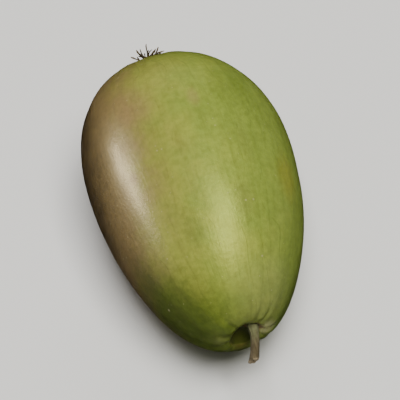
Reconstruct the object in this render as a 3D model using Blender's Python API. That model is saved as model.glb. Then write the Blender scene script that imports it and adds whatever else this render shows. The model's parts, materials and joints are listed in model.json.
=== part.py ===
"""Kiwi berry, as picked: the fruit on its side, its short stalk and the dried styles of its flower.

Run it with blender --background --python part.py, or from Blender's text editor.
Units are metres and +Z is up. The origin is the middle of the flat spot that the fruit rests on.
The fruit's axis lies along Y, with the stalk end towards -Y and a little lower than the other end.
"""

import math
import random

import bmesh
import bpy
from mathutils import Matrix, Vector

MM = 0.001

# Fruit
FRUIT_LENGTH = 37.0 * MM  # from pole to pole, without the dimple and the beak
FRUIT_WIDTH = 24.5 * MM  # across X at the widest ring
FRUIT_HEIGHT = 23.6 * MM  # across Z at the widest ring, before the flat spot is cut
BLUNTNESS = 2.2  # power of the outline: 2 is an ellipse, more is a barrel
TAPER = 0.19  # how much narrower the stalk end is than the blossom end
BOW = 0.6 * MM  # how far the middle bulges towards +X from the line through the ends
LOBES = 5  # faint lengthwise swellings, strongest round the ends
LOBE_SHARE = 0.018  # their height as a share of the radius
LOBE_PHASE = 0.6

# Dimple in the stalk end, a little off its pole towards +X and +Z
DIMPLE_DEPTH = 1.8 * MM
DIMPLE_RADIUS = 1.9 * MM
DIMPLE_POLAR = math.radians(7)  # its place on the skin, as polar and turn angles
DIMPLE_TURN = math.radians(55)

# Low beak that carries the dried styles, on the pole of the blossom end
BEAK_HEIGHT = 0.7 * MM
BEAK_RADIUS = 2.3 * MM

# How the fruit lies
REST_TILT = math.radians(6)  # the stalk end dips until the weight is over the flat spot
SPOT_DEPTH = 0.28 * MM  # thickness of the sliver that the flat spot takes off the fruit

# Stalk, which grows from the +X side of the dimple
STALK_POLAR = math.radians(10.5)  # its place on the skin, as for the dimple
STALK_TURN = math.radians(34)
STALK_ROOT_RADIUS = 0.85 * MM
STALK_RADIUS = 0.55 * MM
STALK_TIP_RADIUS = 0.72 * MM
STALK_ROOT_DEPTH = 0.9 * MM  # how far the root stands below the skin round it
STALK_LENGTH = 5.0 * MM  # from the root's underside to the broken end
STALK_SWAY = 1.3 * MM  # sideways bend of the free end, towards -X
STALK_SWELLING = 0.45  # share of the length over which the root narrows
STALK_FLARE = 0.3  # share of the length over which the broken end widens

# Dried styles
STYLE_COUNT = 15
STYLE_LENGTH = 2.3 * MM
STYLE_LENGTH_SPREAD = (0.85, 1.1)
STYLE_ROOT_RADIUS = 0.34 * MM
STYLE_TIP_RADIUS = 0.13 * MM
STYLE_SIDES = 5
STYLE_STEEPEST = math.radians(24)  # lean from the fruit's axis of the innermost style
STYLE_FLATTEST = math.radians(66)  # and of the outermost
STYLE_TURN = math.radians(137.5)  # from one style to the next, as a flower sets them
STYLE_SEED = 7
HEART_RADIUS = 1.05 * MM  # the knot that the styles spring from
HEART_HEIGHT = 1.1 * MM
HEART_ROOT_DEPTH = 0.5 * MM  # how far it stands below the top of the beak

GAP = 0.3 * MM  # clearance between a root and the socket that holds it

# Mesh fineness
FRUIT_SEGMENTS = 48
FRUIT_RINGS = 40
RING_CROWDING = 0.5  # draws the rings of points together towards both ends
SOCKET_SEGMENTS = 24
HEART_SEGMENTS = 16
HEART_RINGS = 10
STALK_POINTS = 11
STALK_BEVEL = 4
SMOOTH_ANGLE = math.radians(40)
SEARCH_STEPS = 400

STALK_END = -1  # the ends by their side along Y
BLOSSOM_END = 1


def clear_scene():
    for old in list(bpy.data.objects):
        bpy.data.objects.remove(old, do_unlink=True)


def add_collection(name):
    made = bpy.data.collections.new(name)
    bpy.context.scene.collection.children.link(made)
    return made


def add_object(name, data, collection, parent=None):
    made = bpy.data.objects.new(name, data)
    made.parent = parent
    collection.objects.link(made)
    return made


def add_material(obj, name, colour, roughness):
    made = bpy.data.materials.new(name)
    made.use_nodes = True
    shader = made.node_tree.nodes["Principled BSDF"]
    shader.inputs["Base Color"].default_value = (*colour, 1.0)
    shader.inputs["Roughness"].default_value = roughness
    shader.inputs["Metallic"].default_value = 0.0
    obj.data.materials.append(made)


def shade_round(obj):
    obj.data.shade_smooth()
    obj.data.set_sharp_from_angle(angle=SMOOTH_ANGLE)


def girth(axial):
    """Share of half the width at axial, which runs from 1 at the stalk end to -1 at the blossom end."""
    outline = (1 - abs(axial) ** BLUNTNESS) ** (1 / BLUNTNESS)
    return outline * (1 - TAPER * axial)


WIDEST_GIRTH = max(girth(2 * step / SEARCH_STEPS - 1) for step in range(SEARCH_STEPS + 1))


def bare_skin_point(polar, turn):
    """Point of the skin without dimple or beak, from the fruit's middle.

    polar runs from 0 at the stalk end to pi at the blossom end, and turn goes round Y from +X by +Z.
    """
    axial = math.copysign(abs(math.cos(polar)) ** (2 / BLUNTNESS), math.cos(polar))
    share = girth(axial) / WIDEST_GIRTH
    share *= 1 + LOBE_SHARE * axial**2 * math.cos(LOBES * turn + LOBE_PHASE)
    x = share * FRUIT_WIDTH / 2 * math.cos(turn) + BOW * (0.5 - axial**2)
    z = share * FRUIT_HEIGHT / 2 * math.sin(turn)
    return Vector((x, -axial * FRUIT_LENGTH / 2, z))


DIMPLE_PLACE = bare_skin_point(DIMPLE_POLAR, DIMPLE_TURN)
STYLE_PLACE = bare_skin_point(math.pi, 0.0)


def mound(point, place, radius):
    """Height of a smooth mound of height 1 round a place of an end, seen along Y."""
    distance = math.hypot(point.x - place.x, point.z - place.z)
    return math.exp(-((distance / radius) ** 2))


def skin_point(polar, turn):
    """Point of the skin, with the dimple sunk in one end and the beak raised from the other."""
    point = bare_skin_point(polar, turn)
    if point.y < 0:
        point.y += DIMPLE_DEPTH * mound(point, DIMPLE_PLACE, DIMPLE_RADIUS)
    else:
        point.y += BEAK_HEIGHT * mound(point, STYLE_PLACE, BEAK_RADIUS)
    return point


STALK_FOOT = skin_point(STALK_POLAR, STALK_TURN)
BEAK_TOP = STYLE_PLACE + Vector((0, BEAK_HEIGHT, 0))


def make_fruit(collection, lying):
    """A sphere whose points move out to the skin, with its rings crowded towards both ends."""
    mesh = bpy.data.meshes.new("berry")
    shape = bmesh.new()
    bmesh.ops.create_uvsphere(shape, u_segments=FRUIT_SEGMENTS, v_segments=FRUIT_RINGS, radius=1.0)
    for point in shape.verts:
        polar = math.acos(max(-1.0, min(1.0, point.co.z)))
        polar -= RING_CROWDING / 2 * math.sin(2 * polar)
        turn = math.atan2(point.co.y, point.co.x)
        point.co = skin_point(polar, turn)
    bmesh.ops.recalc_face_normals(shape, faces=shape.faces)
    shape.to_mesh(mesh)
    shape.free()
    return add_object("berry", mesh, collection, lying)


def resting_place():
    """Place of the tilted fruit that puts the middle of its flat spot at the origin."""
    tilt = Matrix.Rotation(REST_TILT, 3, "X")
    underside = [
        tilt @ skin_point(step / SEARCH_STEPS * math.pi, -math.pi / 2)
        for step in range(SEARCH_STEPS + 1)
    ]
    lowest = min(underside, key=lambda point: point.z)
    return -lowest - Vector((0, 0, SPOT_DEPTH))


def add_cutter(name, cutters, parent, make_shape, **sizes):
    """A guide object that holds the shape a bmesh operator makes."""
    mesh = bpy.data.meshes.new(name)
    shape = bmesh.new()
    make_shape(shape, **sizes)
    shape.to_mesh(mesh)
    shape.free()
    cutter = add_object(name, mesh, cutters, parent)
    cutter.hide_render = True
    cutter.display_type = "WIRE"
    return cutter


def add_socket_cutter(name, end, place, root_radius, root_depth, cutters, lying):
    """A round plug that leaves a plain hole for a root, with a gap at its side and its end."""
    depth = root_depth + GAP
    length = 2 * (depth + DIMPLE_DEPTH)
    cutter = add_cutter(
        name,
        cutters,
        lying,
        bmesh.ops.create_cone,
        cap_ends=True,
        segments=SOCKET_SEGMENTS,
        radius1=root_radius + GAP,
        radius2=root_radius + GAP,
        depth=length,
    )
    cutter.rotation_euler.x = math.pi / 2
    cutter.location = place + Vector((0, end * (length / 2 - depth), 0))
    return cutter


def add_floor_cutter(cutters):
    """A block whose top is the surface that the fruit rests on."""
    side = 2 * FRUIT_LENGTH
    cutter = add_cutter("floor", cutters, None, bmesh.ops.create_cube, size=side)
    cutter.location.z = -side / 2
    return cutter


def cut(obj, cutter):
    modifier = obj.modifiers.new(cutter.name, "BOOLEAN")
    modifier.operation = "DIFFERENCE"
    modifier.solver = "EXACT"
    modifier.object = cutter


def smooth_step(share):
    """Rises from 0 to 1 with a level start and end."""
    share = max(0.0, min(1.0, share))
    return share * share * (3 - 2 * share)


def stalk_radius(share):
    """Radius along the stalk: a swollen root, a slender neck and a slightly wider broken end."""
    root = 1 - smooth_step(share / STALK_SWELLING)
    tip = smooth_step((share - 1 + STALK_FLARE) / STALK_FLARE)
    return (
        STALK_RADIUS
        + (STALK_ROOT_RADIUS - STALK_RADIUS) * root
        + (STALK_TIP_RADIUS - STALK_RADIUS) * tip
    )


def make_stalk(collection, lying):
    """A thick curve along a slightly swayed line, out of the dimple."""
    line = bpy.data.curves.new("stalk", "CURVE")
    line.dimensions = "3D"
    line.bevel_depth = 1.0
    line.bevel_resolution = STALK_BEVEL
    line.use_fill_caps = True
    spline = line.splines.new("POLY")
    spline.points.add(STALK_POINTS - 1)
    for step, point in enumerate(spline.points):
        share = step / (STALK_POINTS - 1)
        x = STALK_FOOT.x - STALK_SWAY * share**2
        y = STALK_FOOT.y + STALK_ROOT_DEPTH - STALK_LENGTH * share
        point.co = (x, y, STALK_FOOT.z, 1.0)
        point.radius = stalk_radius(share)
    return add_object("stalk", line, collection, lying)


def add_style(name, direction, length, collection, lying):
    """One tapering thread from the beak's top outwards."""
    mesh = bpy.data.meshes.new(name)
    shape = bmesh.new()
    bmesh.ops.create_cone(
        shape,
        cap_ends=True,
        segments=STYLE_SIDES,
        radius1=STYLE_ROOT_RADIUS,
        radius2=STYLE_TIP_RADIUS,
        depth=length,
    )
    bmesh.ops.translate(shape, verts=shape.verts, vec=(0, 0, length / 2))
    lean = direction.to_track_quat("Z", "Y").to_matrix()
    bmesh.ops.rotate(shape, verts=shape.verts, matrix=lean)
    shape.to_mesh(mesh)
    shape.free()
    thread = add_object(name, mesh, collection, lying)
    thread.location = BEAK_TOP


def add_heart(collection, lying):
    """The knot in the middle of the styles: half a ball above the beak's top and a flatter one below."""
    mesh = bpy.data.meshes.new("dried_styles")
    shape = bmesh.new()
    bmesh.ops.create_uvsphere(shape, u_segments=HEART_SEGMENTS, v_segments=HEART_RINGS, radius=1.0)
    for point in shape.verts:
        x, z, y = point.co
        reach = HEART_HEIGHT if y > 0 else HEART_ROOT_DEPTH
        point.co = (x * HEART_RADIUS, y * reach, z * HEART_RADIUS)
    bmesh.ops.recalc_face_normals(shape, faces=shape.faces)
    shape.to_mesh(mesh)
    shape.free()
    heart = add_object("dried_styles", mesh, collection, lying)
    heart.location = BEAK_TOP
    return heart


def fuse(obj, others):
    """Joins a collection's objects to obj in one solid, and removes them."""
    modifier = obj.modifiers.new("fuse", "BOOLEAN")
    modifier.operation = "UNION"
    modifier.solver = "EXACT"
    modifier.operand_type = "COLLECTION"
    modifier.collection = others
    evaluated = obj.evaluated_get(bpy.context.evaluated_depsgraph_get())
    obj.data = bpy.data.meshes.new_from_object(evaluated)
    obj.modifiers.remove(modifier)
    for other in list(others.objects):
        bpy.data.objects.remove(other, do_unlink=True)
    bpy.data.collections.remove(others)


def make_styles(collection, lying):
    """The flower's dried styles: a heart sunk in the beak, with threads fanning out of it all round."""
    draw = random.Random(STYLE_SEED)
    threads = add_collection("threads")
    for number in range(STYLE_COUNT):
        turn = number * STYLE_TURN
        spread = math.sqrt(number / (STYLE_COUNT - 1))
        lean = STYLE_STEEPEST + (STYLE_FLATTEST - STYLE_STEEPEST) * spread
        side = math.sin(lean)
        direction = Vector((side * math.cos(turn), math.cos(lean), side * math.sin(turn)))
        length = STYLE_LENGTH * draw.uniform(*STYLE_LENGTH_SPREAD)
        add_style(f"thread_{number}", direction, length, threads, lying)
    heart = add_heart(collection, lying)
    fuse(heart, threads)
    return heart


def main():
    clear_scene()
    berry = add_collection("kiwi_berry")
    cutters = add_collection("cutters")

    lying = add_object("lying_fruit", None, berry)
    lying.rotation_euler.x = REST_TILT
    lying.location = resting_place()

    fruit = make_fruit(berry, lying)
    sockets = (
        ("stalk_socket", STALK_END, STALK_FOOT, STALK_ROOT_RADIUS, STALK_ROOT_DEPTH),
        ("style_socket", BLOSSOM_END, BEAK_TOP, HEART_RADIUS, HEART_ROOT_DEPTH),
    )
    for socket in sockets:
        cut(fruit, add_socket_cutter(*socket, cutters, lying))
    cut(fruit, add_floor_cutter(cutters))
    add_material(fruit, "green_skin", (0.30, 0.32, 0.09), 0.42)
    shade_round(fruit)

    stalk = make_stalk(berry, lying)
    add_material(stalk, "dry_stalk", (0.22, 0.16, 0.09), 0.75)

    styles = make_styles(berry, lying)
    add_material(styles, "dried_style", (0.030, 0.019, 0.011), 0.85)
    shade_round(styles)


main()
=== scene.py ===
import json
import math
import random

import bpy
from bpy.props import FloatProperty, FloatVectorProperty, IntProperty, PointerProperty
from mathutils import Matrix, Vector, noise

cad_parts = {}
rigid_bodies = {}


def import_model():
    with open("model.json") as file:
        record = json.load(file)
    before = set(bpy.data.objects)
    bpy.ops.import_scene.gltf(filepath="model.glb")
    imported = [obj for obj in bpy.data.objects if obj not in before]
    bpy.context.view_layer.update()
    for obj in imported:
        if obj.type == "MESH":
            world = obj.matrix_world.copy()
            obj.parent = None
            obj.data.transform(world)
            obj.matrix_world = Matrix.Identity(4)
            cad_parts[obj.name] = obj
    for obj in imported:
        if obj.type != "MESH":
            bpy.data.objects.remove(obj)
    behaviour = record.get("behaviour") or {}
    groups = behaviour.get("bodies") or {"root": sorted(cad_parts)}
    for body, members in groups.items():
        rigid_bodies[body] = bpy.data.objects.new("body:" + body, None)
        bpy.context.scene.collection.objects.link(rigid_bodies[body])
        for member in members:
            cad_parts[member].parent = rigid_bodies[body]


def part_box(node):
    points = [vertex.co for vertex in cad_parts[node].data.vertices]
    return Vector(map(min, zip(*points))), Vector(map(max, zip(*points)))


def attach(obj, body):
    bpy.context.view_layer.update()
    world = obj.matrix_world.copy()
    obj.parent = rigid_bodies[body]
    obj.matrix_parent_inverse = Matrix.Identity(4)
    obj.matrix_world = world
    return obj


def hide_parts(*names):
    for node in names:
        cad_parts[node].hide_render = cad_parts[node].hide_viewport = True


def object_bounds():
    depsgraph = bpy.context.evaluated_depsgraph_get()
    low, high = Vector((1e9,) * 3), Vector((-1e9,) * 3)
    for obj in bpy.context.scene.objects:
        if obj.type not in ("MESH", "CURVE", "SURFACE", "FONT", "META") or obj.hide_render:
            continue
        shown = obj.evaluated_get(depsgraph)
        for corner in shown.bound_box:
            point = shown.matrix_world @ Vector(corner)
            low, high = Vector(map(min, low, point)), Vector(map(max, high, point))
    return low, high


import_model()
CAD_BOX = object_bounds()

bl_info = {
    "name": "Kiwi Berry",
    "version": (1, 0, 0),
    "blender": (4, 5, 0),
    "location": "View3D > Sidebar > Kiwi Berry",
    "description": "Dresses a kiwi berry: its skin, its dry stalk and the dried styles of its flower",
    "category": "Add Mesh",
}

MM = 0.001

# The fruit's length and height are shares of its width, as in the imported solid.
BERRY_LOW, BERRY_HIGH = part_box("berry")
BERRY_WIDTH = BERRY_HIGH.x - BERRY_LOW.x
LENGTH_SHARE = 1.51
HEIGHT_SHARE = 0.9633

# A polar angle starts at the stalk end. A turn goes round the fruit: 0 is +X and 90 degrees is up.
SUNNY_TURN = math.radians(184)
# Steps from end to end in the searches for the widest ring and the lowest point.
SEARCH_STEPS = 400
# The cube's edges are cut into 11, and each of those into 10.
SKIN_CUTS = (10, 9)
# A face looks up if its normal rises more than this.
FACES_UP = 0.9

# Furrows and knots are shares of the stalk's radius. Chips and insets are in millimetres.
STALK_SIDES = 20
STALK_SECTIONS = 14
FURROWS = 0.09
KNOTS = 0.05
CHIPS = 0.22
BROKEN_END = ((0.12, -0.05), (0.20, 0.16), (0.18, -0.22))

STYLE_SEED = 11
STYLE_SIDES = 8
STYLE_SECTIONS = 14
SHORTEST_STYLE = 0.70
# Each style's turn from the last one and its lean in degrees.
GOLDEN_TURN = 137.5
LEAST_LEAN = 14
FURTHER_LEAN = 58
CHANCE_LEAN = 6
# In radians: the chance part of its turn, and how much of a wave it bends through.
CHANCE_TURN = 0.25
STYLE_WAVE = 6.0
# The knot's lumps and its flatness above and below, as shares of its radius.
HEART_LUMPS = 0.25
HEART_TOP = 0.62
HEART_FOOT = 0.45


def size_prop(name, description, default):
    """A length, in metres."""
    return FloatProperty(name=name, description=description, default=default, unit="LENGTH")


def angle_prop(name, description, default):
    """An angle, in radians."""
    return FloatProperty(name=name, description=description, default=default, subtype="ANGLE")


def share_prop(name, description, default):
    """A share or a strength, from 0 to 1."""
    return FloatProperty(
        name=name, description=description, default=default, min=0.0, max=1.0, subtype="FACTOR"
    )


def colour_prop(name, description, default):
    """A colour, in linear light."""
    return FloatVectorProperty(name=name, description=description, default=default, subtype="COLOR")


class KiwiFruit(bpy.types.PropertyGroup):
    """Sizes of the fruit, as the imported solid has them, and of the fine relief on its skin."""

    width: size_prop("Width", "Width at the widest ring", BERRY_WIDTH)
    length: size_prop(
        "Length", "Length from pole to pole, without dimple and beak", BERRY_WIDTH * LENGTH_SHARE
    )
    height: size_prop(
        "Height", "Height at the widest ring, before the flattening", BERRY_WIDTH * HEIGHT_SHARE
    )
    bluntness: FloatProperty(
        name="Bluntness", description="Power of the outline: 2 is an ellipse", default=2.2
    )
    taper: share_prop("Taper", "How much narrower the stalk end is", 0.19)
    bow: size_prop("Bow", "Sideways bulge of the middle", 0.6 * MM)
    lobes: IntProperty(name="Lobes", description="Faint lengthwise swellings", default=5)
    lobe_share: share_prop("Lobe share", "Height of a lobe as a share of the radius", 0.018)
    lobe_phase: angle_prop("Lobe phase", "Turn of the lobes", 0.6)
    dimple_depth: size_prop("Dimple depth", "Depth round the stalk", 1.8 * MM)
    dimple_radius: size_prop("Dimple radius", "Reach of the dimple", 1.9 * MM)
    dimple_polar: angle_prop("Dimple polar angle", "From the pole to the dimple", math.radians(7))
    dimple_turn: angle_prop("Dimple turn", "Side of the pole with the dimple", math.radians(55))
    stalk_polar: angle_prop("Stalk polar angle", "From the pole to the stalk", math.radians(10.5))
    stalk_turn: angle_prop("Stalk turn", "Side of the pole with the stalk", math.radians(34))
    beak_height: size_prop("Beak height", "Height of the beak", 0.7 * MM)
    beak_radius: size_prop("Beak radius", "Reach of the beak", 2.3 * MM)
    tilt: angle_prop("Tilt", "How far the stalk end dips", math.radians(6))
    spot_depth: size_prop("Flattening", "How much is pressed flat where the fruit rests", 0.28 * MM)
    undulation: size_prop("Undulation", "Depth of the skin's broad unevenness", 0.16 * MM)
    ribs: IntProperty(name="Ribs", description="Number of fine lengthwise furrows", default=13)
    rib_depth: size_prop("Rib depth", "Depth of the furrows", 0.05 * MM)
    pucker_depth: size_prop("Pucker depth", "Depth of the folds at both ends", 0.18 * MM)
    hollow_depth: size_prop("Hollow depth", "Extra depth of the hollow beside the stalk", 1.15 * MM)
    hollow_radius: size_prop("Hollow radius", "Reach of the hollow", 1.1 * MM)
    hollow_aside: size_prop("Hollow offset", "From the dimple's middle towards -X", 0.58 * MM)
    hollow_below: size_prop("Hollow drop", "From the dimple's middle downwards", 1.10 * MM)


class KiwiSkin(bpy.types.PropertyGroup):
    """Colours of the skin, how strongly each layer shows, and its gloss."""

    green: colour_prop("Green", "Most of the skin", (0.172, 0.224, 0.034))
    yellow: colour_prop("Yellow", "Its paler patches", (0.244, 0.276, 0.042))
    # Deep green is the real colour of veins and streaks, and also painted shade underneath, at the
    # ends and in some marks.
    deep: colour_prop("Deep green", "Veins, ends and shady side", (0.042, 0.068, 0.005))
    tan: colour_prop("Tan", "The side that faced the sun", (0.172, 0.107, 0.046))
    # Brown is painted shade in the middle of the sunny side and at the edge of the hollow beside the
    # stalk; one mark near the stalk is brown too.
    brown: colour_prop("Brown", "The middle of that side", (0.036, 0.018, 0.006))
    russet: colour_prop("Russet", "Corky marks and rings", (0.120, 0.065, 0.025))
    rosy: colour_prop("Rosy", "Warm spots", (0.300, 0.180, 0.090))
    olive: colour_prop("Olive", "A ripe patch", (0.198, 0.190, 0.018))
    smudge: colour_prop("Smudge", "Dull patches", (0.120, 0.130, 0.030))
    # Dark is painted shade at the bottom of the hollow beside the stalk.
    dark: colour_prop("Dark", "Hollow beside the stalk", (0.024, 0.030, 0.004))
    # Pale colours the real pores, and also the pale marks, which are painted sheen.
    pale: colour_prop("Pale", "Pores and rubbed wax", (0.400, 0.370, 0.190))
    # Painted shade: shade and end shade darken the underside and both ends to deep green.
    shade: share_prop("Shade", "Deep green underneath", 0.58)
    end_shade: share_prop("End shade", "Deep green at both ends", 0.45)
    streaks: share_prop("Streaks", "Lengthwise streaks of deep green", 0.30)
    fine_streaks: share_prop("Fine streaks", "Finer ones", 0.14)
    veins: share_prop("Veins", "Thin lines of deep green", 0.30)
    halo: share_prop("Halo", "Faint tan round the sunny side", 0.26)
    blush: share_prop("Blush", "Tan of the sunny side", 0.84)
    # Painted shade: the scorch is brown painted where the sunny side faces furthest towards -X.
    painted_shade_brown: share_prop("Scorch", "Brown in the middle of the sunny side", 0.64)
    mottling: share_prop("Mottling", "Small differences of light and dark", 0.28)
    pores: share_prop("Pores", "Small pale pores", 0.38)
    large_pores: share_prop("Large pores", "Fewer and larger ones", 0.50)
    # Painted shade in the hollow beside the stalk: brown at its edge and dark at its bottom.
    painted_shade_rim: share_prop("Lip", "Brown edge of the hollow", 0.45)
    hollow: share_prop("Hollow", "Dark bottom of the hollow", 0.94)
    cork: share_prop("Cork", "Russet discs round stalk and styles", 0.85)
    roughness: share_prop("Roughness", "Roughness of the plain skin", 0.36)
    wax: share_prop("Wax", "Coat of the plain skin", 0.12)
    sunny_wax: share_prop("Sunny wax", "Further coat on the sunny side", 0.45)


class KiwiStalk(bpy.types.PropertyGroup):
    """Sizes, colours and roughness of the dry stalk."""

    root_radius: size_prop("Root radius", "Radius in the dimple", 0.85 * MM)
    neck_radius: size_prop("Neck radius", "Radius of the middle", 0.55 * MM)
    tip_radius: size_prop("Tip radius", "Radius of the broken end", 0.72 * MM)
    root_depth: size_prop("Root depth", "Length in the fruit", 0.9 * MM)
    length: size_prop("Length", "Length with its root", 5.0 * MM)
    sway: size_prop("Sway", "Bend of the free end towards -X", 1.3 * MM)
    bark: colour_prop("Bark", "Dry outside", (0.050, 0.036, 0.022))
    wood: colour_prop("Wood", "Paler fibres", (0.104, 0.080, 0.049))
    green: colour_prop("Green", "Root in the dimple", (0.118, 0.130, 0.062))
    dirt: colour_prop("Dirt", "Dark crumbs", (0.060, 0.038, 0.022))
    pith: colour_prop("Pith", "Middle of the broken end", (0.320, 0.250, 0.155))
    roughness: share_prop("Roughness", "Roughness of the bark", 0.78)


class KiwiStyles(bpy.types.PropertyGroup):
    """Sizes, colours and roughness of the dried styles."""

    count: IntProperty(name="Count", description="Number of styles", default=28)
    length: size_prop("Length", "Length of a style", 2.3 * MM)
    root_radius: size_prop("Root radius", "Radius where a style starts", 0.16 * MM)
    curl: size_prop("Curl", "Sideways bend of a style's tip", 0.75 * MM)
    kink: size_prop("Kink", "Depth of a style's waves", 0.16 * MM)
    heart_radius: size_prop("Heart radius", "Radius of the knot", 1.05 * MM)
    grain: size_prop("Grain", "Voxel that the styles grow together with", 0.045 * MM)
    dark: colour_prop("Dark", "Most of a style", (0.036, 0.021, 0.012))
    tip: colour_prop("Tip", "Paler ends", (0.125, 0.078, 0.040))
    roughness: share_prop("Roughness", "Roughness of the styles", 0.72)


class KiwiStage(bpy.types.PropertyGroup):
    """The floor, the lights and the camera."""

    floor: colour_prop("Floor", "Colour of the floor", (0.66, 0.66, 0.65))
    clouds: share_prop("Clouds", "How much darker the floor's faint clouds are", 0.03)
    floor_roughness: share_prop("Floor roughness", "Roughness of the floor", 0.8)
    light_height: size_prop("Light height", "Height that the lights look at", 11 * MM)
    fill: colour_prop("Fill", "Colour of the faint light from all sides", (0.93, 0.95, 1.0))
    fill_strength: share_prop("Fill strength", "Strength of that light", 0.08)
    azimuth: angle_prop("Azimuth", "Camera's turn from straight at the stalk end", math.radians(-17))
    elevation: angle_prop("Elevation", "Camera's height above the horizon", math.radians(59))
    lens: FloatProperty(name="Lens", description="Focal length", default=200.0, unit="CAMERA")
    field: size_prop("Field", "Width of the picture at the berry", 46 * MM)


class Fruit:
    """The form of the fruit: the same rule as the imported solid, with the relief of its skin."""

    def __init__(self, sizes):
        self.sizes = sizes
        half = SEARCH_STEPS // 2
        self.widest = max(self.outline(step / half) for step in range(-half, half + 1))
        self.dimple_place = self.bare_point(sizes.dimple_polar, sizes.dimple_turn)
        self.style_place = self.bare_point(math.pi, 0.0)
        self.stalk_foot = self.point(sizes.stalk_polar, sizes.stalk_turn)
        self.beak_top = self.style_place + Vector((0, sizes.beak_height, 0))
        aside = Vector((sizes.hollow_aside, 0, sizes.hollow_below))
        self.hollow_place = self.dimple_place - aside
        self.dents = [(dent, dent.place(self)) for dent in DENTS]
        self.lying = self.resting_matrix()

    def outline(self, axial):
        """Share of half the width; axial runs from 1 at the stalk end to -1 at the blossom end."""
        power = self.sizes.bluntness
        return (1 - abs(axial) ** power) ** (1 / power) * (1 - self.sizes.taper * axial)

    def bare_point(self, polar, turn):
        """Point of the skin without dimple or beak, from the fruit's middle."""
        s = self.sizes
        axial = math.copysign(abs(math.cos(polar)) ** (2 / s.bluntness), math.cos(polar))
        share = self.outline(axial) / self.widest
        share *= 1 + s.lobe_share * axial**2 * math.cos(s.lobes * turn + s.lobe_phase)
        x = share * s.width / 2 * math.cos(turn) + s.bow * (0.5 - axial**2)
        z = share * s.height / 2 * math.sin(turn)
        return Vector((x, -axial * s.length / 2, z))

    def point(self, polar, turn):
        """Point of the skin, with the dimple sunk in one end and the beak raised from the other."""
        s = self.sizes
        point = self.bare_point(polar, turn)
        if point.y < 0:
            point.y += s.dimple_depth * mound(off_axis(point, self.dimple_place), s.dimple_radius)
        else:
            point.y += s.beak_height * mound(off_axis(point, self.style_place), s.beak_radius)
        return point

    def resting_matrix(self):
        """Turns the fruit as it lies and puts the middle of its flat spot at the origin."""
        tilt = Matrix.Rotation(self.sizes.tilt, 4, "X")
        polars = [step / SEARCH_STEPS * math.pi for step in range(SEARCH_STEPS + 1)]
        underside = [tilt @ self.point(polar, -math.pi / 2) for polar in polars]
        lowest = min(underside, key=lambda point: point.z)
        rise = Vector((0, 0, self.sizes.spot_depth))
        return Matrix.Translation(-lowest - rise) @ tilt

    def relief(self, point):
        """Height of the skin's fine relief at a point: only the collars stand above plain skin."""
        s = self.sizes
        axial = -point.y / (s.length / 2)
        turn = math.atan2(point.z, point.x)
        broad = wave(point, 0.11) + 0.5 * wave(point, 0.27, (7, 3, 5))
        height = -s.undulation * (0.6 + 0.4 * broad)
        wobble = 0.9 * wave(point, 0.12, (20, 0, 0))
        rib = 0.5 + 0.5 * math.cos(s.ribs * turn + 4 * wobble)
        height -= s.rib_depth * rib * min(1.0, abs(axial) + 0.25)
        if point.y < 0:
            height += self.end_folds(
                point, self.dimple_place, count=9, reach=2.9 * MM, spread=1.3 * MM, seed=3
            )
            height += collar(
                point, self.stalk_foot, radius=1.15 * MM, width=0.22 * MM, height=0.18 * MM
            )
            height -= s.hollow_depth * mound(off_axis(point, self.hollow_place), s.hollow_radius)
        else:
            height += self.end_folds(
                point, self.style_place, count=11, reach=2.0 * MM, spread=1.1 * MM, seed=8
            )
            height += collar(
                point, self.style_place, radius=1.25 * MM, width=0.30 * MM, height=0.16 * MM
            )
        for dent, place in self.dents:
            height -= dent.depth * mound((point - place).length, dent.radius)
        return height

    def end_folds(self, point, place, count, reach, spread, seed):
        """Folds that run in towards the stalk or the styles."""
        away = off_axis(point, place)
        angle = math.atan2(point.z - place.z, point.x - place.x)
        bend = noise.noise(Vector((math.cos(angle), math.sin(angle), seed)) * 1.3)
        ring = math.exp(-(((away - reach) / spread) ** 2))
        fold = 0.5 + 0.5 * math.cos(count * angle + 5 * bend)
        return -self.sizes.pucker_depth * ring * fold**2


class SkinPlace:
    """A place on the skin, by its polar angle and its turn in degrees."""

    def __init__(self, polar, turn):
        self.polar = math.radians(polar)
        self.turn = math.radians(turn)

    def place(self, fruit):
        """Point of the skin, from the fruit's middle."""
        return fruit.point(self.polar, self.turn)


class Dent(SkinPlace):
    """A shallow dent in the skin, with its radius and depth in millimetres."""

    def __init__(self, polar, turn, radius, depth):
        super().__init__(polar, turn)
        self.radius = radius * MM
        self.depth = depth * MM


class Mark(SkinPlace):
    """A spot of another colour, with its half sizes across and along the fruit in millimetres."""

    def __init__(self, polar, turn, across, along, share, colour):
        super().__init__(polar, turn)
        self.across = across
        self.along = along
        self.share = share
        self.colour = colour


# Polar angle, turn, radius and depth.
DENTS = (Dent(62, 38, 3.4, 0.16), Dent(118, 205, 4.2, 0.20), Dent(75, 285, 3.0, 0.12))

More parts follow.
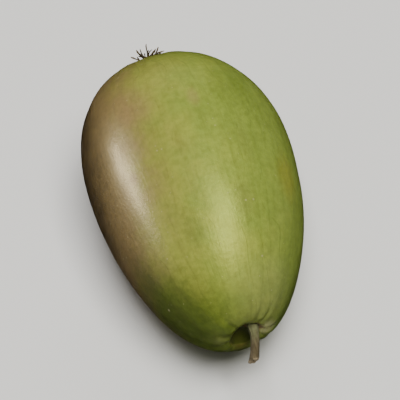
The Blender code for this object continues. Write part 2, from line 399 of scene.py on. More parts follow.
# Polar angle, turn, size across, size along, strength and colour. The last two are guessed.
MARKS = (
    Mark(83, 36, 2.2, 3.6, 0.55, "olive"),
    Mark(117, 119, 3.2, 3.6, 0.26, "rosy"),
    Mark(113, 84, 0.9, 1.7, 0.26, "rosy"),
    Mark(69, 108, 1.7, 2.8, 0.35, "smudge"),
    Mark(75, 73, 1.5, 2.6, 0.35, "smudge"),
    Mark(77, 115, 1.1, 1.7, 0.25, "smudge"),
    Mark(93, 64, 1.1, 3.2, 0.22, "smudge"),
    Mark(102, 95, 1.7, 2.6, 0.50, "yellow"),
    # Painted shade: these deep green marks darken the -X side towards the stalk end and a patch on the
    # upper +X side towards the blossom end.
    Mark(41, 158, 6.3, 8.5, 0.80, "deep"),
    Mark(64, 160, 3.0, 3.6, 0.24, "deep"),
    Mark(74, 140, 2.6, 3.4, 0.08, "deep"),
    Mark(115, 58, 3.4, 3.6, 0.20, "deep"),
    # Painted sheen: these pale marks stand in for soft highlights, on the upper +X side towards the
    # stalk end and on the rim round the stalk end.
    Mark(38, 58, 5.2, 4.8, 0.10, "pale"),
    Mark(17, 16, 1.5, 1.6, 0.40, "pale"),
    Mark(15, 152, 1.1, 1.5, 0.07, "pale"),
    Mark(18, 115, 1.0, 1.2, 0.30, "deep"),
    Mark(7.5, 268, 1.3, 1.2, 0.50, "brown"),
    Mark(92, 131, 0.7, 0.9, 0.60, "russet"),
    Mark(97, 243, 1.2, 3.0, 0.55, "russet"),
    Mark(66, 318, 2.4, 3.0, 0.45, "olive"),
)


def off_axis(point, place):
    """Distance from a place of an end, seen along the fruit."""
    return math.hypot(point.x - place.x, point.z - place.z)


def mound(distance, radius):
    """A smooth mound: 1 in its middle, and nothing far beyond its radius."""
    return math.exp(-((distance / radius) ** 2))


def wave(point, scale, shift=(0, 0, 0)):
    """Smooth noise from -1 to 1, with its scale in waves a millimetre."""
    return noise.noise(point / MM * scale + Vector(shift))


def collar(point, place, radius, width, height):
    """A low corky ring round a root."""
    away = off_axis(point, place)
    crumb = 0.75 + 0.5 * wave(point, 2.2)
    return height * crumb * math.exp(-(((away - radius) / width) ** 2))


def smooth_step(share):
    """A smooth step from 0 at 0 to 1 at 1."""
    share = max(0.0, min(1.0, share))
    return share * share * (3 - 2 * share)


def soft_floor(height):
    """A height that levels out at the surface the berry rests on."""
    ease = 0.03 * MM
    if height > 20 * ease:
        return height
    return ease * math.log1p(math.exp(height / ease))


class Wire:
    """A shader socket that takes part in sums: each sign adds a Math node."""

    def __init__(self, sheet, socket):
        self.sheet = sheet
        self.socket = socket

    def __add__(self, other):
        return self.sheet.maths("ADD", self, other)

    def __radd__(self, other):
        return self.sheet.maths("ADD", other, self)

    def __sub__(self, other):
        return self.sheet.maths("SUBTRACT", self, other)

    def __rsub__(self, other):
        return self.sheet.maths("SUBTRACT", other, self)

    def __mul__(self, other):
        return self.sheet.maths("MULTIPLY", self, other)

    def __rmul__(self, other):
        return self.sheet.maths("MULTIPLY", other, self)

    def __truediv__(self, other):
        return self.sheet.maths("DIVIDE", self, other)

    def __rtruediv__(self, other):
        return self.sheet.maths("DIVIDE", other, self)

    def __abs__(self):
        return self.sheet.maths("ABSOLUTE", self)


class Sheet:
    """A material's node tree with its Principled shader."""

    def __init__(self, name):
        self.material = bpy.data.materials.new(name)
        self.material.use_nodes = True
        self.tree = self.material.node_tree
        self.shader = self.tree.nodes["Principled BSDF"]

    def node(self, kind, settings=None, sockets=None, output=0):
        """Adds a node: its settings first, then the values or links of its sockets."""
        made = self.tree.nodes.new(kind)
        for name, value in (settings or {}).items():
            setattr(made, name, value)
        for name, value in (sockets or {}).items():
            self.feed(made.inputs[name], value)
        return Wire(self, made.outputs[output])

    def feed(self, socket, value):
        """Links a wire to a socket, or sets the socket to a value."""
        if isinstance(value, Wire):
            self.tree.links.new(value.socket, socket)
        elif socket.type == "RGBA" and len(value) == 3:
            socket.default_value = (*value, 1.0)
        else:
            socket.default_value = value

    def maths(self, operation, *terms):
        """A Math node on one to three terms."""
        return self.node("ShaderNodeMath", {"operation": operation}, dict(enumerate(terms)))

    def noise(self, vector, scale, detail=2.0, roughness=0.5, warp=0.0):
        """Noise from 0 to 1."""
        sockets = {"Vector": vector, "Scale": scale, "Detail": detail}
        sockets.update({"Roughness": roughness, "Distortion": warp})
        return self.node("ShaderNodeTexNoise", {}, sockets, "Fac")

    def swing(self, vector, scale, **look):
        """Noise from -0.5 to 0.5."""
        return self.noise(vector, scale, **look) - 0.5

    def step(self, value, low, high):
        """A smooth step from 0 at low to 1 at high."""
        settings = {"interpolation_type": "SMOOTHSTEP", "clamp": True}
        sockets = {"Value": value, "From Min": low, "From Max": high}
        return self.node("ShaderNodeMapRange", settings, sockets)

    def mix(self, share, first, second, blend="MIX"):
        """Mixes two colours; a Mix node's colour sockets are inputs 6 and 7 and output 2."""
        settings = {"data_type": "RGBA", "blend_type": blend}
        sockets = {0: share, 6: first, 7: second}
        return self.node("ShaderNodeMix", settings, sockets, 2)

    def lay(self, colour, *layers):
        """Lays colours over a colour in turn, each given as its mask, its strength and itself."""
        for mask, strength, over in layers:
            colour = self.mix(mask * strength, colour, over)
        return colour

    def vectors(self, operation, *terms):
        """Vector maths that gives a vector."""
        return self.node("ShaderNodeVectorMath", {"operation": operation}, dict(enumerate(terms)))

    def measure(self, operation, *terms):
        """Vector maths that gives a number."""
        settings = {"operation": operation}
        return self.node("ShaderNodeVectorMath", settings, dict(enumerate(terms)), "Value")

    def split(self, vector):
        """The three parts of a vector."""
        made = self.node("ShaderNodeSeparateXYZ", {}, {0: vector})
        return [Wire(self, socket) for socket in made.socket.node.outputs]

    def join(self, x, y, z):
        """A vector or a colour of three parts."""
        return self.node("ShaderNodeCombineXYZ", {}, {0: x, 1: y, 2: z})

    def bump(self, height, distance, strength):
        """A normal that follows a height."""
        sockets = {"Height": height, "Distance": distance, "Strength": strength}
        return self.node("ShaderNodeBump", {}, sockets)

    def coordinates(self):
        """Object coordinates in metres."""
        return self.node("ShaderNodeTexCoord", output="Object")

    def place(self, matrix):
        """Object coordinates in the frame that the matrix places, in millimetres."""
        sockets = {
            "Vector": self.coordinates(),
            "Location": matrix.to_translation(),
            "Rotation": matrix.to_euler(),
            "Scale": (MM, MM, MM),
        }
        return self.node("ShaderNodeMapping", {"vector_type": "TEXTURE"}, sockets)

    def set_constants(self, **sockets):
        """Sets the shader's sockets that are the same all over, named with _ for a space."""
        for name, value in sockets.items():
            self.shader.inputs[name.replace("_", " ").title()].default_value = value

    def finish(self, **sockets):
        """Feeds the shader's sockets, named with _ for a space, and gives the material."""
        for name, value in sockets.items():
            self.feed(self.shader.inputs[name.replace("_", " ").title()], value)
        return self.material


class SkinGround:
    """Where a point of the skin lies, in millimetres, and the noises that its layers share."""

    def __init__(self, sheet, fruit):
        self.sheet = sheet
        self.fruit = fruit
        self.half_width = fruit.sizes.width / 2 / MM
        self.place = sheet.place(fruit.lying)
        self.x, y, self.z = sheet.split(self.place)
        self.axial = y / (-fruit.sizes.length / 2 / MM)
        self.turn = sheet.maths("ARCTAN2", self.z, self.x)
        self.flat = sheet.join(self.x, 0.0, self.z)
        self.broad = sheet.swing(self.place, 0.11, detail=3.0, roughness=0.55)
        self.patchy = sheet.swing(self.place, 0.35, detail=3.0, roughness=0.6)
        self.mottle = sheet.swing(self.place, 1.6, detail=3.0, roughness=0.6)
        self.streaks = self.streak_noise(around=7.5, along=1.35, detail=4.0, warp=0.25)
        self.fine_streaks = self.streak_noise(around=22.0, along=2.2, detail=3.0, warp=0.2)

    def streak_noise(self, around, along, detail, warp):
        """Noise drawn out from one end of the fruit to the other."""
        way = self.sheet.vectors("NORMALIZE", self.flat)
        spread = self.sheet.vectors("MULTIPLY", way, (around, 0.0, around))
        rise = self.sheet.join(0.0, self.axial * along, 0.0)
        place = self.sheet.vectors("ADD", spread, rise)
        return self.sheet.swing(place, 1.0, detail=detail, roughness=0.62, warp=warp)

    def veins(self, count, width, wander):
        """Thin lines that wander from one end to the other, and come and go."""
        smooth = self.sheet.swing(self.place, 0.16, detail=0.0)
        line = self.sheet.maths("SINE", self.turn * count + smooth * wander)
        line = 1.0 - self.sheet.step(abs(line), 0.0, width)
        return line * self.sheet.step(self.broad + self.patchy, -0.10, 0.20)

    def towards(self, turn):
        """How far a point lies towards a side: about 1 on the widest ring, and 0 on the axis."""
        way = (math.cos(turn) / self.half_width, 0.0, math.sin(turn) / self.half_width)
        return self.sheet.measure("DOT_PRODUCT", self.place, way)

    def blush(self, low, high, raggedness):
        """The side that faced the sun, fading towards the stalk."""
        stalk_side = self.sheet.step(self.axial, -0.15, 0.85)
        blossom_side = self.sheet.step(-1.0 * self.axial, 0.10, 0.70)
        edge = 0.40 + stalk_side * 0.33 - blossom_side * 0.06
        ragged = self.patchy * 0.5 + self.streaks * 0.25 + self.mottle * 0.12
        return self.sheet.step(self.towards(SUNNY_TURN) - edge + ragged * raggedness, low, high)

    def mark(self, mark):
        """A ragged spot."""
        centre = mark.place(self.fruit) / MM
        size = (1 / mark.across, 1 / mark.along, 1 / mark.across)
        offset = self.sheet.vectors("SUBTRACT", self.place, centre)
        reach = self.sheet.measure("LENGTH", self.sheet.vectors("MULTIPLY", offset, size))
        ragged = (self.patchy * 1.5 + self.mottle * 1.2) / (1.0 + mark.across)
        return 1.0 - self.sheet.step(reach + ragged, 0.30, 1.15)

    def pores(self, scale, least, most):
        """Round pores with radii from least to most millimetres, at most one in each cell."""
        sockets = {"Vector": self.place, "Scale": scale}
        cells = self.sheet.node("ShaderNodeTexVoronoi", {"feature": "F1"}, sockets)
        chance = self.sheet.split(Wire(self.sheet, cells.socket.node.outputs["Color"]))[0]
        size = (chance * (most - least) + least) * scale
        return 1.0 - self.sheet.step(cells / size, 0.45, 1.0)

    def away_from(self, place):
        """Distance from a place of an end, seen along the fruit."""
        return self.sheet.measure("DISTANCE", self.flat, (place.x / MM, 0.0, place.z / MM))

    def half(self, end):
        """The half of the fruit with the stalk, where end is 1, or with the styles, where it is -1."""
        return self.sheet.step(self.axial * end, 0.0, 0.2)

    def disc(self, place, reach, fade, end):
        """A ragged corky disc round a root."""
        ragged = self.away_from(place) + self.patchy * 1.6 + self.mottle
        return (1.0 - self.sheet.step(ragged, reach, reach + fade)) * self.half(end)

    def sunken(self, place, reach, rim):
        """The skin near a place of the stalk end that lies deeper than the rim of the hollow: the mask
        for the painted shade in the hollow.
        """
        near = 1.0 - self.sheet.step(self.away_from(place) + self.mottle * 0.5, reach, reach + 0.5)
        deep = 1.0 - self.sheet.step(self.axial + self.mottle * 0.01, rim - 0.012, rim)
        return near * deep * self.half(1)


def green_skin(ground, skin, veins):
    """Green with yellower patches and deeper streaks and veins, and painted shade: deep green
    underneath and towards both ends.
    """
    sheet = ground.sheet
    ripe = sheet.step(ground.x * -0.07 + ground.broad * 1.6 + ground.patchy * 0.9, -0.45, 0.35)
    # Painted shade: deep green towards the bottom, and towards both ends.
    low = 1.0 - sheet.step(ground.z + ground.broad * 6.0 + ground.patchy * 4.0, -3.0, 9.0)
    ends = sheet.step(abs(ground.axial) + ground.patchy * 0.2, 0.60, 1.0)
    return sheet.lay(
        sheet.mix(ripe, skin.green, skin.yellow),
        (low, skin.shade, skin.deep),
        (ends, skin.end_shade, skin.deep),
        (sheet.step(ground.streaks, 0.02, 0.24), skin.streaks, skin.deep),
        (sheet.step(ground.fine_streaks, -0.05, 0.25), skin.fine_streaks, skin.deep),
        (veins, skin.veins, skin.deep),
    )


def sunny_side(ground, skin, colour, blush):
    """The tan side over the green, with a faint halo, and painted shade in its middle: brown where the
    tan side faces furthest towards -X.
    """
    sheet = ground.sheet
    halo = ground.blush(low=-0.65, high=0.05, raggedness=1.3)
    # Painted shade: brown where the sunny side faces furthest towards -X.
    middle = ground.towards(SUNNY_TURN) - ground.axial * 0.20 + ground.patchy * 0.3
    return sheet.lay(
        colour,
        (halo, skin.halo, skin.tan),
        (blush, skin.blush, skin.tan),
        (sheet.step(middle, 0.73, 1.02) * blush, skin.painted_shade_brown, skin.brown),
    )


def skin_material(fruit, skin):
    """Waxy green skin with a brown sunny side, faint veins, pale pores, marks and corky ends, with
    painted shade underneath, at the ends, on the -X side and in the hollow beside the stalk, and
    painted sheen in a few pale marks.
    """
    sheet = Sheet("berry_skin")
    ground = SkinGround(sheet, fruit)
    veins = ground.veins(count=11, width=0.16, wander=9.0)
    blush = ground.blush(low=-0.20, high=0.26, raggedness=0.8)
    pores = ground.pores(scale=0.95, least=0.05, most=0.13)
    large_pores = ground.pores(scale=0.42, least=0.10, most=0.22)
    # Masks of the painted shade in the hollow beside the stalk.
    painted_shade_rim = ground.sunken(fruit.hollow_place, reach=1.4, rim=0.966)
    hollow = ground.sunken(fruit.hollow_place, reach=1.3, rim=0.954)
    stalk_disc = ground.disc(fruit.stalk_foot, reach=0.8, fade=0.5, end=1)
    style_disc = ground.disc(fruit.style_place, reach=1.4, fade=1.2, end=-1)
    cork = sheet.maths("MAXIMUM", stalk_disc, style_disc)

    colour = sunny_side(ground, skin, green_skin(ground, skin, veins), blush)
    marks = [(ground.mark(mark), mark.share, getattr(skin, mark.colour)) for mark in MARKS]
    colour = sheet.lay(colour, *marks)
    light = sheet.step(ground.mottle, -0.25, 0.25) * skin.mottling + (1 - skin.mottling / 2)
    colour = sheet.mix(1.0, colour, sheet.join(light, light, light), "MULTIPLY")
    colour = sheet.lay(
        colour,
        (pores, skin.pores, skin.pale),
        (large_pores, skin.large_pores, skin.pale),
        # Painted shade in the hollow beside the stalk: brown at its edge, dark at its bottom.
        (painted_shade_rim, skin.painted_shade_rim, skin.brown),
        (hollow, skin.hollow, skin.dark),
        (cork, skin.cork, skin.russet),
    )

    roughness = skin.roughness + ground.patchy * 0.16 + pores * 0.15 + cork * 0.3 + blush * 0.03
    roughness = roughness + hollow * 0.55
    coat = skin.wax + blush * skin.sunny_wax - hollow * skin.wax
    pebble = sheet.noise(ground.place, 2.6)
    grain = sheet.noise(ground.place, 9.0)
    height = pebble * 0.5 + grain * 0.12 + ground.fine_streaks * 0.5 + veins * 0.15 + pores * 0.25
    height = height + cork * ground.mottle * 1.5
    normal = sheet.bump(height, distance=0.09 * MM, strength=0.55)
    sheet.set_constants(
        subsurface_weight=0.12,
        subsurface_radius=(1.0, 0.8, 0.25),
        subsurface_scale=1.2 * MM,
        coat_roughness=0.30,
    )
    return sheet.finish(base_color=colour, roughness=roughness, coat_weight=coat, normal=normal)


def stalk_material(fruit, sizes):
    """Dry bark with lengthwise fibres, green at its root and pale where it broke."""
    sheet = Sheet("dry_stalk")
    place = sheet.place(fruit.lying)
    x, y, z = sheet.split(place)
    drawn_out = sheet.join(x * 3.0, y * 0.5, z * 3.0)
    fibres = sheet.noise(drawn_out, 1.8, detail=4.0, roughness=0.65, warp=0.4)
    crumbs = sheet.noise(place, 3.5, detail=3.0, roughness=0.6)
    root = (fruit.stalk_foot.y + sizes.root_depth) / MM
    share = (root - y) / (sizes.length / MM)
    green = 1.0 - sheet.step(share + (crumbs - 0.5) * 0.3, 0.25, 0.70)
    broken = sheet.step(share, 0.955, 0.985)
    colour = sheet.lay(
        sheet.mix(sheet.step(fibres, 0.35, 0.7), sizes.bark, sizes.wood),
        (green, 0.75, sizes.green),
        (sheet.step(crumbs, 0.5, 0.72), 0.55, sizes.dirt),
        (broken * sheet.step(crumbs, 0.35, 0.55), 0.7, sizes.pith),
    )
    normal = sheet.bump(fibres + crumbs * 0.5, distance=0.12 * MM, strength=0.8)
    return sheet.finish(base_color=colour, roughness=sizes.roughness, normal=normal)


def style_material(fruit, sizes):
    """Dark, brittle threads with paler tips."""
    sheet = Sheet("dried_style")
    place = sheet.place(fruit.lying)
    away = sheet.measure("DISTANCE", place, fruit.beak_top / MM)
    crumbs = sheet.noise(place, 4.0, detail=3.0, roughness=0.6)
    tips = sheet.step(away + (crumbs - 0.5) * 1.2, 1.5, 2.6)
    colour = sheet.lay(sizes.dark, (tips, 0.8, sizes.tip))
    normal = sheet.bump(crumbs, distance=0.08 * MM, strength=0.7)
    return sheet.finish(base_color=colour, roughness=sizes.roughness, normal=normal)


def floor_material(stage):
    """A matte floor with faint clouds."""
    sheet = Sheet("pale_floor")
    cloud = sheet.noise(sheet.coordinates(), 14.0)
    darker = [channel * (1 - stage.clouds) for channel in stage.floor]
    colour = sheet.mix(cloud, darker, stage.floor)
    return sheet.finish(base_color=colour, roughness=stage.floor_roughness)


def deselect_all():
    """Leaves edit mode and deselects every object."""
    if bpy.context.object is not None and bpy.context.object.mode != "OBJECT":
        bpy.ops.object.mode_set(mode="OBJECT")
    bpy.ops.object.select_all(action="DESELECT")


def deselect_mesh():
    """Deselects everything in the active object's mesh."""
    bpy.ops.object.mode_set(mode="EDIT")
    bpy.ops.mesh.select_all(action="DESELECT")
    bpy.ops.object.mode_set(mode="OBJECT")


def start_tube(sides, radius, depth):
    """Adds a cylinder that stands on the origin, in edit mode with only its top face selected."""
    deselect_all()
    bpy.ops.mesh.primitive_cylinder_add(
        vertices=sides, radius=radius, depth=depth, location=(0, 0, depth / 2)
    )
    tube = bpy.context.object
    bpy.ops.object.transform_apply(location=True, rotation=True, scale=True)
    deselect_mesh()
    for face in tube.data.polygons:
        face.select = face.normal.z > FACES_UP
    bpy.ops.object.mode_set(mode="EDIT")
    return tube


def apply_modifiers(obj):
    """Applies the active object's modifiers in order."""
    for modifier in list(obj.modifiers):
        bpy.ops.object.modifier_apply(modifier=modifier.name)


def drop_crumbs(obj):
    """Deletes what a remesh left loose: all that doesn't hang together with the lowest point."""
    deselect_mesh()
    lowest = min(obj.data.vertices, key=lambda point: point.co.z)
    lowest.select = True
    bpy.ops.object.mode_set(mode="EDIT")
    bpy.ops.mesh.select_linked()
    bpy.ops.mesh.select_all(action="INVERT")
    bpy.ops.mesh.delete(type="VERT")
    bpy.ops.object.mode_set(mode="OBJECT")


def dress(obj, name, skin, node):
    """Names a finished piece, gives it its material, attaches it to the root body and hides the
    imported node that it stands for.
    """
    obj.name = name
    obj.data.name = name
    obj.data.materials.clear()
    obj.data.materials.append(skin)
    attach(obj, "root")
    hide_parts(node)


class KIWI_OT_add_berry(bpy.types.Operator):
    """Add the fruit: a finely divided cube drawn out to the berry's skin"""

    bl_idname = "kiwi.add_berry"
    bl_label = "Add Berry"

    def execute(self, context):
        fruit = Fruit(context.scene.kiwi_fruit)
        deselect_all()
        bpy.ops.mesh.primitive_cube_add(size=2.0, location=(0, 0, 0))
        berry = context.object
        bpy.ops.object.mode_set(mode="EDIT")
        for cuts in SKIN_CUTS:
            bpy.ops.mesh.select_all(action="SELECT")
            bpy.ops.mesh.subdivide(number_cuts=cuts)
        bpy.ops.object.mode_set(mode="OBJECT")
        points = berry.data.vertices
        for point in points:
            way = point.co.normalized()
            polar = math.acos(max(-1.0, min(1.0, -way.y)))
            point.co = fruit.point(polar, math.atan2(way.z, way.x))
        berry.data.update()
        normals = [point.normal.copy() for point in points]
        for point, normal in zip(points, normals):
            point.co = point.co + normal * fruit.relief(point.co)
        berry.data.transform(fruit.lying)
        for point in points:
            point.co.z = soft_floor(point.co.z)
        berry.data.update()
        bpy.ops.object.shade_smooth()
        skin = skin_material(fruit, context.scene.kiwi_skin)
        dress(berry, "berry_fruit", skin, "berry")
        return {"FINISHED"}


class KIWI_OT_add_stalk(bpy.types.Operator):
    """Add the dry stalk: a ring of wood drawn out section by section, with a broken end"""

    bl_idname = "kiwi.add_stalk"
    bl_label = "Add Stalk"

    def execute(self, context):
        fruit = Fruit(context.scene.kiwi_fruit)
        sizes = context.scene.kiwi_stalk
        stride = sizes.length / STALK_SECTIONS
        stalk = start_tube(STALK_SIDES, sizes.root_radius, stride)
        was = stalk_radius(sizes, 1 / STALK_SECTIONS)
        bpy.ops.transform.resize(value=(was / sizes.root_radius,) * 3)
        for section in range(1, STALK_SECTIONS):
            share = (section + 1) / STALK_SECTIONS
            here = stalk_radius(sizes, share)
            step_aside = sizes.sway * (share**2 - (section / STALK_SECTIONS) ** 2)
            bpy.ops.mesh.extrude_region_move(
                TRANSFORM_OT_translate={"value": (-step_aside, 0, stride)}
            )
            bpy.ops.transform.resize(value=(here / was, here / was, 1.0))
            was = here
        for inwards, upwards in BROKEN_END:
            bpy.ops.mesh.inset(thickness=inwards * MM, depth=upwards * MM)
        bpy.ops.object.mode_set(mode="OBJECT")
        smooth = stalk.modifiers.new("smooth", "SUBSURF")
        smooth.levels = smooth.render_levels = 2
        apply_modifiers(stalk)
        for point in stalk.data.vertices:
            point.co = roughen_stalk(point.co, sizes)
        upright = Matrix.Rotation(math.pi / 2, 4, "X")
        root = Matrix.Translation(fruit.stalk_foot + Vector((0, sizes.root_depth, 0)))
        stalk.data.transform(fruit.lying @ root @ upright)
        stalk.data.update()
        bpy.ops.object.shade_smooth()
        dress(stalk, "dry_stalk", stalk_material(fruit, sizes), "stalk")
        return {"FINISHED"}


def stalk_radius(sizes, share):
    """Radius along the stalk: a swollen root, a slender neck and a slightly wider broken end."""
    root = 1 - smooth_step(share / 0.45)
    tip = smooth_step((share - 0.7) / 0.3)
    return (
        sizes.neck_radius
        + (sizes.root_radius - sizes.neck_radius) * root
        + (sizes.tip_radius - sizes.neck_radius) * tip
    )


def roughen_stalk(point, sizes):
    """Sinks lengthwise furrows into the stalk and chips its broken end."""
    share = point.z / sizes.length
    axis_x = -sizes.sway * share**2
    turn = math.atan2(point.y, point.x - axis_x)
    around = Vector((math.cos(turn), math.sin(turn), 0)) * 2.2
    furrow = noise.noise(around + Vector((0, 0, share * 2.5)))
    knot = wave(point, 1.4)
    shrink = 1 - FURROWS * (0.5 + furrow) - KNOTS * (0.5 + knot)
    chipped = smooth_step((share - 0.93) / 0.07) * CHIPS * MM * (furrow + knot - 0.3)
    x = axis_x + (point.x - axis_x) * shrink
    return Vector((x, point.y * shrink, min(point.z + chipped, sizes.length)))


class KIWI_OT_add_styles(bpy.types.Operator):
    """Add the dried styles: one curled thread, copied round a knot on the beak and grown together"""

    bl_idname = "kiwi.add_styles"
    bl_label = "Add Dried Styles"

    def execute(self, context):
        fruit = Fruit(context.scene.kiwi_fruit)
        sizes = context.scene.kiwi_styles
        heart = make_heart(sizes)
        thread = make_thread(sizes)
        draw = random.Random(STYLE_SEED)
        copies = [copy_thread(thread, sizes, number, draw) for number in range(sizes.count)]
        bpy.data.objects.remove(thread, do_unlink=True)
        deselect_all()
        for copy in copies:
            copy.select_set(True)
        heart.select_set(True)
        context.view_layer.objects.active = heart
        bpy.ops.object.join()
        grown = heart.modifiers.new("grown", "REMESH")
        grown.mode = "VOXEL"
        grown.voxel_size = sizes.grain
        soft = heart.modifiers.new("soft", "SMOOTH")
        soft.factor = 0.5
        soft.iterations = 2
        apply_modifiers(heart)
        drop_crumbs(heart)
        upright = Matrix.Rotation(-math.pi / 2, 4, "X")
        heart.data.transform(fruit.lying @ Matrix.Translation(fruit.beak_top) @ upright)
        heart.data.update()
        bpy.ops.object.shade_smooth()
        dress(heart, "dried_style_tuft", style_material(fruit, sizes), "dried_styles")
        return {"FINISHED"}


def make_heart(sizes):
    """The knot that the styles spring from, upright."""
    deselect_all()
    bpy.ops.mesh.primitive_uv_sphere_add(
        segments=32, ring_count=20, radius=sizes.heart_radius, location=(0, 0, 0)
    )
    heart = bpy.context.object
    for point in heart.data.vertices:
        lump = 1 + HEART_LUMPS * wave(point.co, 1.8)
        flat = HEART_TOP if point.co.z > 0 else HEART_FOOT
        point.co = Vector((point.co.x * lump, point.co.y * lump, point.co.z * flat))
    return heart


def make_thread(sizes):
    """One straight style, upright, that widens to a flat, pointed tip."""
    stride = sizes.length / STYLE_SECTIONS
    thread = start_tube(STYLE_SIDES, sizes.root_radius, stride)
    was = thread_radius(0.0)
    for section in range(1, STYLE_SECTIONS):
        here = thread_radius(section / (STYLE_SECTIONS - 1))
        bpy.ops.mesh.extrude_region_move(TRANSFORM_OT_translate={"value": (0, 0, stride)})
        bpy.ops.transform.resize(value=(here[0] / was[0], here[1] / was[1], 1.0))
        was = here
    bpy.ops.object.mode_set(mode="OBJECT")
    return thread


def copy_thread(thread, sizes, number, draw):
    """A bent copy of the style, which leans further the later it comes."""
    copy = thread.copy()
    copy.data = thread.data.copy()
    bpy.context.scene.collection.objects.link(copy)
    spread = math.sqrt((number + 0.5) / sizes.count)
    lean = LEAST_LEAN + FURTHER_LEAN * spread + draw.uniform(-CHANCE_LEAN, CHANCE_LEAN)
    turn = math.radians(GOLDEN_TURN * number) + draw.uniform(-CHANCE_TURN, CHANCE_TURN)
    bend_thread(copy.data, sizes, draw)
    size = draw.uniform(SHORTEST_STYLE, 1.0)
    aim = Matrix.Rotation(turn, 4, "Z") @ Matrix.Rotation(math.radians(lean), 4, "Y")
    copy.data.transform(aim @ Matrix.Diagonal((1, 1, size, 1)))
    return copy


def thread_radius(share):
    """Two half widths along a style, as shares of its root's radius: slender, then a flat tip."""
    neck = smooth_step(share / 0.45)
    head = smooth_step((share - 0.60) / 0.25)
    point = smooth_step((share - 0.86) / 0.14)
    return (1 - 0.45 * neck + 0.30 * head - 0.50 * point, 1 - 0.50 * neck - 0.20 * point)


def bend_thread(mesh, sizes, draw):
    """Curls and kinks one copy of the style by draws of its own."""
    curl = sizes.curl * draw.uniform(-0.6, 1.0)
    kink = sizes.kink * draw.uniform(0.4, 1.0)
    phase = draw.uniform(0.0, 6.0)
    for point in mesh.vertices:
        share = max(0.0, point.co.z / sizes.length)
        sway = math.sin(STYLE_WAVE * share + phase) * share
        point.co += Vector((curl * share**2 + kink * sway, kink * sway, 0.0))


class KIWI_OT_add_stage(bpy.types.Operator):
    """Add the pale floor, the soft lights and the camera"""

    bl_idname = "kiwi.add_stage"
    bl_label = "Add Stage"

    def execute(self, context):
        stage = context.scene.kiwi_stage
        add_floor(context, stage)
        for light in SOFTBOXES:
            light.add(context, Vector((0, 0, stage.light_height)))
        add_fill(context, stage)
        add_camera(context, stage)
        return {"FINISHED"}


def add_floor(context, stage):
    """A wide floor that doesn't show in the skin's gloss."""
    deselect_all()
    bpy.ops.mesh.primitive_plane_add(size=4.0, location=(0, 0, 0))
    floor = context.object
    floor.name = "floor"
    floor.data.materials.append(floor_material(stage))
    floor.visible_glossy = False


def add_fill(context, stage):
    """A faint light from all sides that doesn't show in the skin's gloss either."""
    world = context.scene.world or bpy.data.worlds.new("studio")
    context.scene.world = world
    world.use_nodes = True
    background = world.node_tree.nodes["Background"]
    background.inputs["Color"].default_value = (*stage.fill, 1.0)
    background.inputs["Strength"].default_value = stage.fill_strength
    world.cycles_visibility.glossy = False


def add_camera(context, stage):
    """A camera that looks at the middle of the CAD box from the photograph's side."""
    data = bpy.data.cameras.new("camera")
    data.lens = stage.lens
    data.clip_start = 10 * MM
    camera = bpy.data.objects.new("camera", data)
    context.scene.collection.objects.link(camera)
    level = math.cos(stage.elevation)
    back = Vector(
        (math.sin(stage.azimuth) * level, -math.cos(stage.azimuth) * level, math.sin(stage.elevation))
    )
    away = stage.field / data.sensor_width * data.lens
    low, high = CAD_BOX
    camera.location = (low + high) / 2 + back * away
    camera.rotation_euler = back.to_track_quat("Z", "Y").to_euler()
    context.scene.camera = camera


class Softbox:
    """A soft light that looks at the berry, in metres and watts, with its long side along a way."""

    def __init__(self, name, towards, along, away, size, power, colour, seen):
        self.name = name
        self.towards = Vector(towards).normalized()
        self.along = Vector(along)
        self.away = away
        self.size = size
        self.power = power
        self.colour = colour
        self.seen = seen

    def add(self, context, middle):
        data = bpy.data.lights.new(self.name, "AREA")
        data.shape = "RECTANGLE"
        data.size, data.size_y = self.size
        data.energy = self.power
        data.color = self.colour
        light = bpy.data.objects.new(self.name, data)
        context.scene.collection.objects.link(light)
        side = (self.along - self.along.dot(self.towards) * self.towards).normalized()
        turned = Matrix((side, self.towards.cross(side), self.towards)).transposed()
        place = Matrix.Translation(middle + self.towards * self.away)
        light.matrix_world = place @ turned.to_4x4()
        light.visible_diffuse = self.seen == "diffuse"
        light.visible_glossy = self.seen == "glossy"


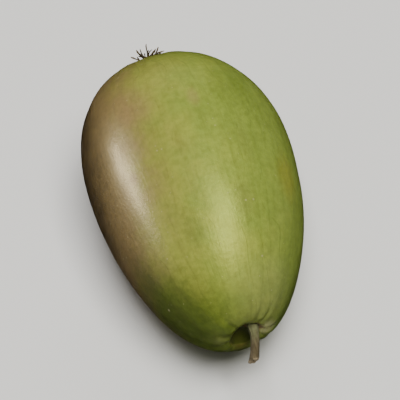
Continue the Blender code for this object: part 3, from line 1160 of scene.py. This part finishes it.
# Two softboxes light the berry's colours, and the other two show only as highlights in its skin.
SOFTBOXES = (
    Softbox(
        "overhead", towards=(0.03, -0.15, 0.98), along=(1, 0, 0), away=0.75,
        size=(0.40, 0.40), power=10.2, colour=(1.0, 0.98, 0.95), seen="diffuse",
    ),
    Softbox(
        "back_fill", towards=(0.25, 0.85, 0.45), along=(1, 0, 0), away=0.80,
        size=(0.40, 0.30), power=1.8, colour=(1.0, 1.0, 1.0), seen="diffuse",
    ),
    Softbox(
        "gleam", towards=(0.215, -0.34, 0.91), along=(0.57, 0.79, 0.21), away=0.70,
        size=(0.42, 0.21), power=5.45, colour=(0.95, 1.0, 0.20), seen="glossy",
    ),
    Softbox(
        "left_strip", towards=(-0.91, 0.26, 0.29), along=(0, 1, 0), away=0.60,
        size=(0.26, 0.09), power=2.9, colour=(1.0, 0.86, 0.54), seen="glossy",
    ),
)


class KIWI_PT_panel(bpy.types.Panel):
    """Lists the pieces and their sizes and colours"""

    bl_idname = "KIWI_PT_panel"
    bl_label = "Kiwi Berry"
    bl_space_type = "VIEW_3D"
    bl_region_type = "UI"
    bl_category = "Kiwi Berry"

    def draw(self, context):
        for operator, groups in STEPS:
            box = self.layout.box()
            box.operator(operator)
            for group in groups:
                settings = getattr(context.scene, group)
                for name in settings.bl_rna.properties.keys():
                    if name not in ("rna_type", "name"):
                        box.prop(settings, name)


GROUPS = {
    "kiwi_fruit": KiwiFruit,
    "kiwi_skin": KiwiSkin,
    "kiwi_stalk": KiwiStalk,
    "kiwi_styles": KiwiStyles,
    "kiwi_stage": KiwiStage,
}
STEPS = (
    ("kiwi.add_berry", ("kiwi_fruit", "kiwi_skin")),
    ("kiwi.add_stalk", ("kiwi_stalk",)),
    ("kiwi.add_styles", ("kiwi_styles",)),
    ("kiwi.add_stage", ("kiwi_stage",)),
)
CLASSES = (
    *GROUPS.values(),
    KIWI_OT_add_berry,
    KIWI_OT_add_stalk,
    KIWI_OT_add_styles,
    KIWI_OT_add_stage,
    KIWI_PT_panel,
)


def register():
    for made in CLASSES:
        bpy.utils.register_class(made)
    for name, group in GROUPS.items():
        setattr(bpy.types.Scene, name, PointerProperty(type=group))


def unregister():
    for name in GROUPS:
        delattr(bpy.types.Scene, name)
    for made in reversed(CLASSES):
        bpy.utils.unregister_class(made)


def main():
    register()
    bpy.ops.kiwi.add_berry()
    bpy.ops.kiwi.add_stalk()
    bpy.ops.kiwi.add_styles()
    bpy.ops.kiwi.add_stage()


if __name__ == "__main__":
    main()
